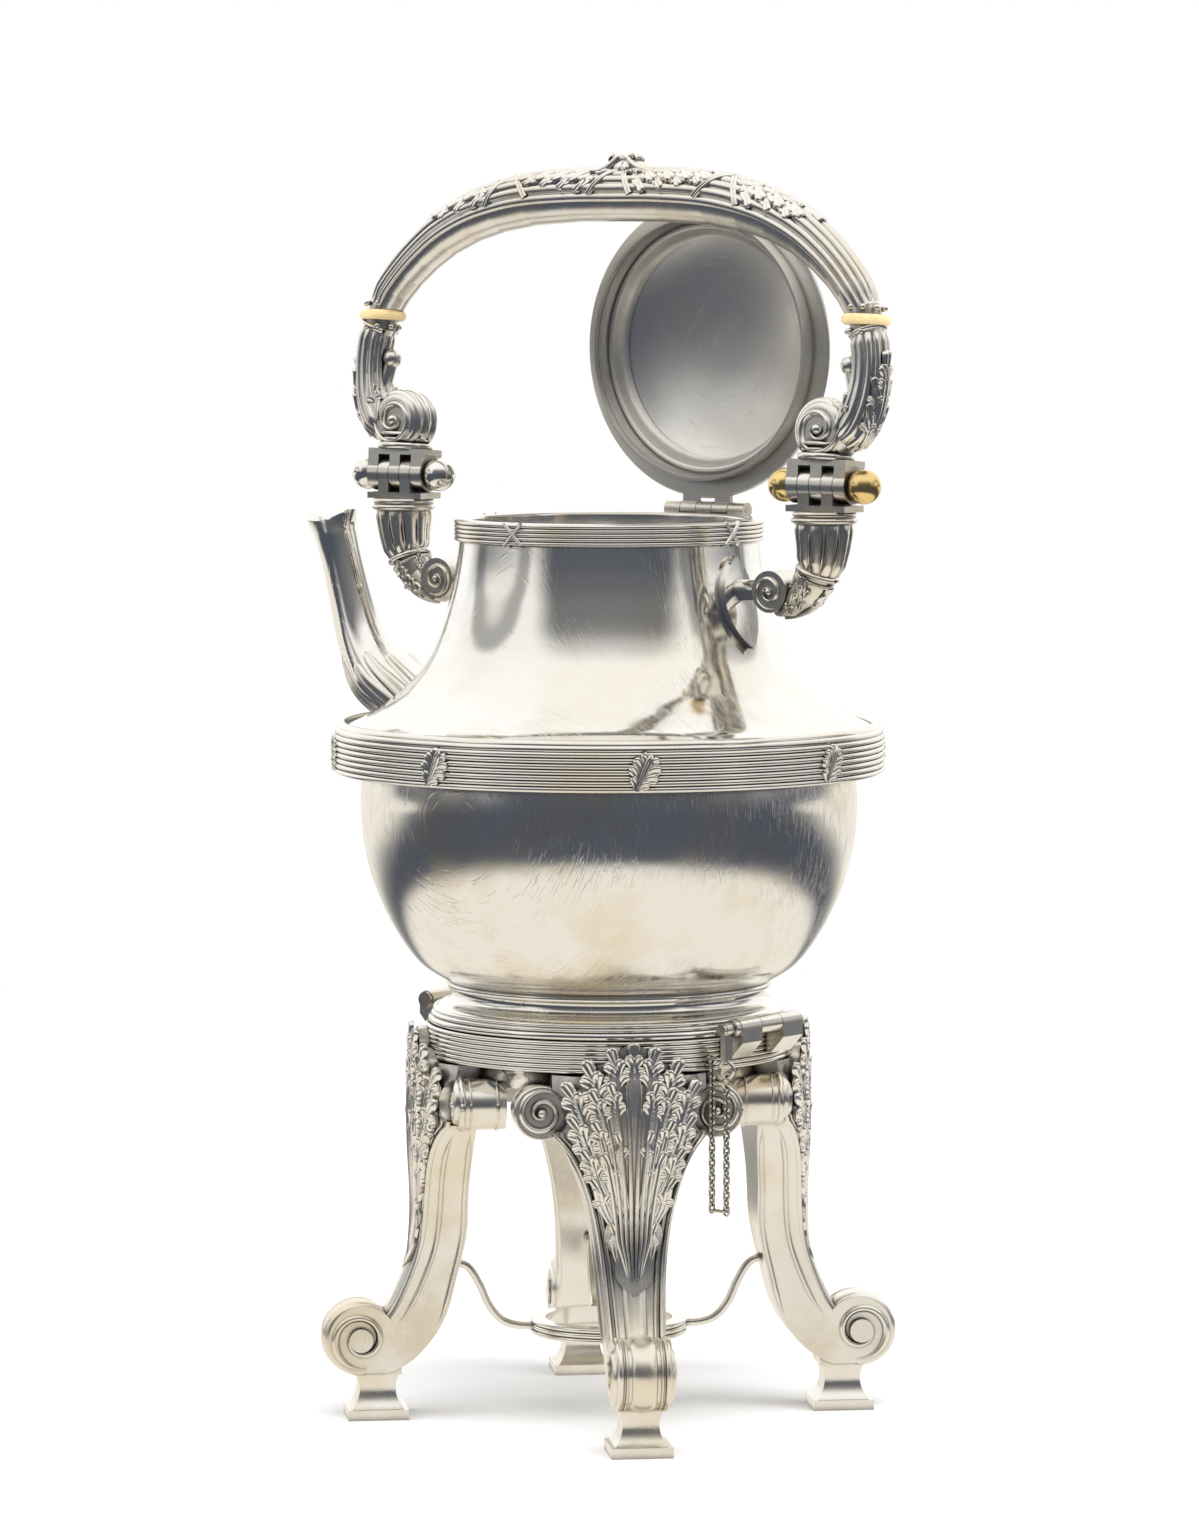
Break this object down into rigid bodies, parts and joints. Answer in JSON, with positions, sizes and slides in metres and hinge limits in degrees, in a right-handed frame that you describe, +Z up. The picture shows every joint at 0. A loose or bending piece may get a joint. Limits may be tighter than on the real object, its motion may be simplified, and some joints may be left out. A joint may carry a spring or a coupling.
{
  "type": "spirit kettle on stand",
  "caption": "Footed kettle with reeded shoulder band, spout, hinged lid and arched swing handle, tilting on a four-legged stand with a burner ring and a chained lock pin.",
  "frame": {"origin": "on the floor, midway between the four plinth feet, on the kettle's axis", "axes": "+Z up, -X towards the spout, +X towards the lock pin, +Y towards the lid hinge"},
  "size_m": [0.2102, 0.161, 0.3639],
  "materials": {
    "polished_silver": "polished, with fine scratches and faint warm tarnish",
    "chased_silver": "polished on the crests, dark oxidised in the recesses, warm tarnish",
    "fitting_silver": "polished, tarnished where links touch",
    "gilt": "worn gilding",
    "ivory": "warm cream, fine grain"
  },
  "bodies": {
    "stand": {"stand_ring": "chased_silver", "stand_apron": "chased_silver", "leg_1": "chased_silver", "leg_2": "chased_silver", "leg_3": "chased_silver", "leg_4": "chased_silver", "knee_volutes_1": "chased_silver", "knee_volutes_2": "chased_silver", "knee_volutes_3": "chased_silver", "knee_volutes_4": "chased_silver", "knee_leaf_1": "chased_silver", "knee_leaf_2": "chased_silver", "knee_leaf_3": "chased_silver", "knee_leaf_4": "chased_silver", "plinth_foot_1": "chased_silver", "plinth_foot_2": "chased_silver", "plinth_foot_3": "chased_silver", "plinth_foot_4": "chased_silver", "burner_ring": "chased_silver", "burner_strut_1": "chased_silver", "burner_strut_2": "chased_silver", "burner_strut_3": "chased_silver", "burner_strut_4": "chased_silver", "rear_hinge_ears": "chased_silver", "front_hinge_ears": "chased_silver", "front_hinge_pin": "fitting_silver", "chain_staple": "fitting_silver"},
    "kettle": {"kettle_bowl": "polished_silver", "shoulder_band": "chased_silver", "band_leaf_clasps": "chased_silver", "kettle_neck": "polished_silver", "collar_band": "chased_silver", "collar_ribbon_crosses": "chased_silver", "kettle_foot": "chased_silver", "rear_hinge_lug": "chased_silver", "front_hinge_lug": "chased_silver", "spout": "polished_silver", "spout_mount_leaf": "chased_silver", "rear_neck_boss": "polished_silver", "front_neck_boss": "polished_silver", "rear_handle_arm": "chased_silver", "front_handle_arm": "chased_silver", "lid_hinge_plate": "chased_silver", "lid_hinge_pin": "fitting_silver"},
    "handle": {"grip": "chased_silver", "grip_crest": "chased_silver", "rear_insulator_ring": "ivory", "front_insulator_ring": "ivory", "rear_bail_section": "chased_silver", "front_bail_section": "chased_silver", "rear_pivot_pin": "gilt", "front_pivot_pin": "chased_silver"},
    "lid": {"lid_shell": "polished_silver", "lid_rim": "chased_silver", "lid_finial": "chased_silver"},
    "lock_pin": {"lock_pin": "fitting_silver", "lock_pin_pull": "fitting_silver"},
    "chain_staple_strand": {"chain_staple_strand": "fitting_silver"},
    "chain_pin_strand": {"chain_pin_strand": "fitting_silver"}
  },
  "joints": [
    {"name": "kettle_tilt", "type": "hinge", "parent": "stand", "child": "kettle", "pos_m": [-0.0562, 0, 0.117], "axis": [0, -1, 0], "range_deg": [0, 50]},
    {"name": "handle_swing", "type": "hinge", "parent": "kettle", "child": "handle", "pos_m": [0, 0, 0.2695], "axis": [1, 0, 0], "range_deg": [-15, 75]},
    {"name": "lid_close", "type": "hinge", "parent": "kettle", "child": "lid", "pos_m": [0, 0.047, 0.2595], "axis": [1, 0, 0], "range_deg": [0, 90]},
    {"name": "lock_pin_pull_out", "type": "slide", "parent": "stand", "child": "lock_pin", "axis": [0, -1, 0], "range_m": [0, 0.021]},
    {"name": "chain_staple_turn", "type": "hinge", "parent": "stand", "child": "chain_staple_strand", "pos_m": [0.05111, -0.01835, 0.10706], "axis": [-1, 0, 0], "range_deg": [0, 18]},
    {"name": "chain_pull_ring_turn", "type": "hinge", "parent": "lock_pin", "child": "chain_pin_strand", "pos_m": [0.0562, -0.01835, 0.10335], "axis": [1, 0, 0], "range_deg": [0, 18]}
  ],
  "couplings": [
    {"joint": "chain_staple_turn", "follows": "lock_pin_pull_out", "rad_per_m": 12.4},
    {"joint": "chain_pull_ring_turn", "follows": "lock_pin_pull_out", "rad_per_m": 13}
  ]
}
